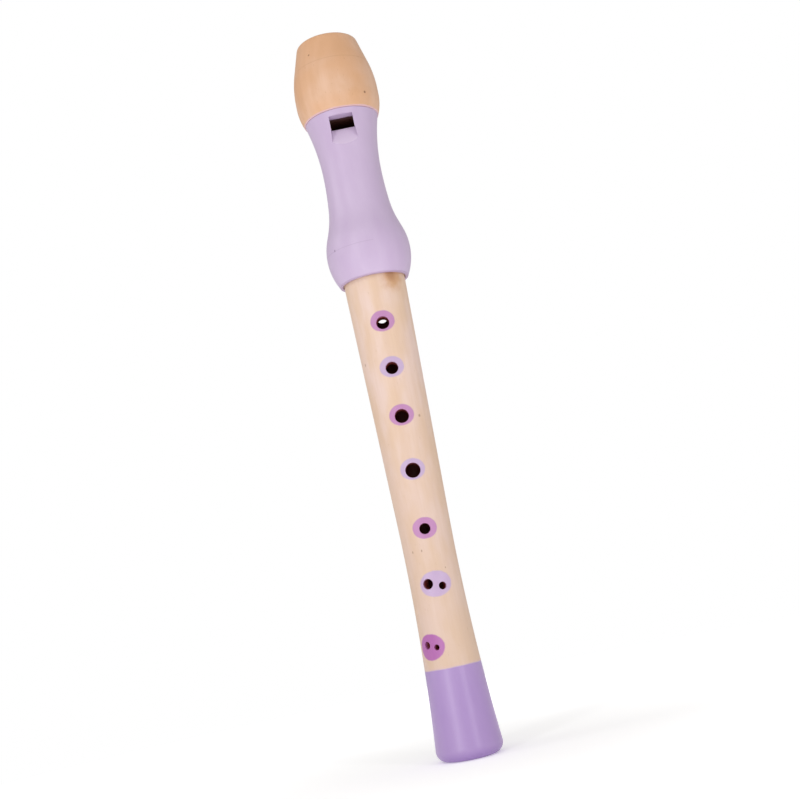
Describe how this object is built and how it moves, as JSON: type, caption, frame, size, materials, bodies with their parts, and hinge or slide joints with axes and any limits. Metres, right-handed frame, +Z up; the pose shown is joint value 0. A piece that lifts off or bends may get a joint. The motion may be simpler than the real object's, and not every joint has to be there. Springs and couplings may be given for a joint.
{
  "type": "soprano recorder",
  "caption": "Soprano recorder with a flared beak, a bulged head joint that turns and pulls off a corked tenon, and a tapering tube with single and double finger holes.",
  "frame": {"origin": "centre of the foot's end face, on the bore's axis", "axes": "+Z up the bore towards the beak; the window and finger holes face -Y; the thumb hole faces +Y; the lowest pair of finger holes is turned towards -X"},
  "size_m": [0.0376, 0.0375, 0.32],
  "materials": {
    "lilac_lacquer": "wood under a satin lilac lacquer",
    "pale_wood": "pale close-grained wood, satin",
    "peach_wood": "warm pearwood, satin",
    "cork": "cork sheet, matt",
    "cedar": "red cedar, open grain, matt"
  },
  "bodies": {
    "tube": {"body_tube": "pale_wood", "foot": "lilac_lacquer"},
    "cork_ring": {"tenon_cork": "cork"},
    "head": {"head_joint": "lilac_lacquer", "beak": "peach_wood"},
    "block": {"block": "cedar"}
  },
  "joints": [
    {"name": "head_turn", "type": "hinge", "parent": "tube", "child": "cork_ring", "pos_m": [0, 0, 0.218], "axis": [0, 0, 1], "continuous": true},
    {"name": "head_pull", "type": "slide", "parent": "cork_ring", "child": "head", "axis": [0, 0, 1], "range_m": [0, 0.026]},
    {"name": "block_push", "type": "slide", "parent": "head", "child": "block", "axis": [0, 0, 1], "range_m": [0, 0.042]}
  ]
}
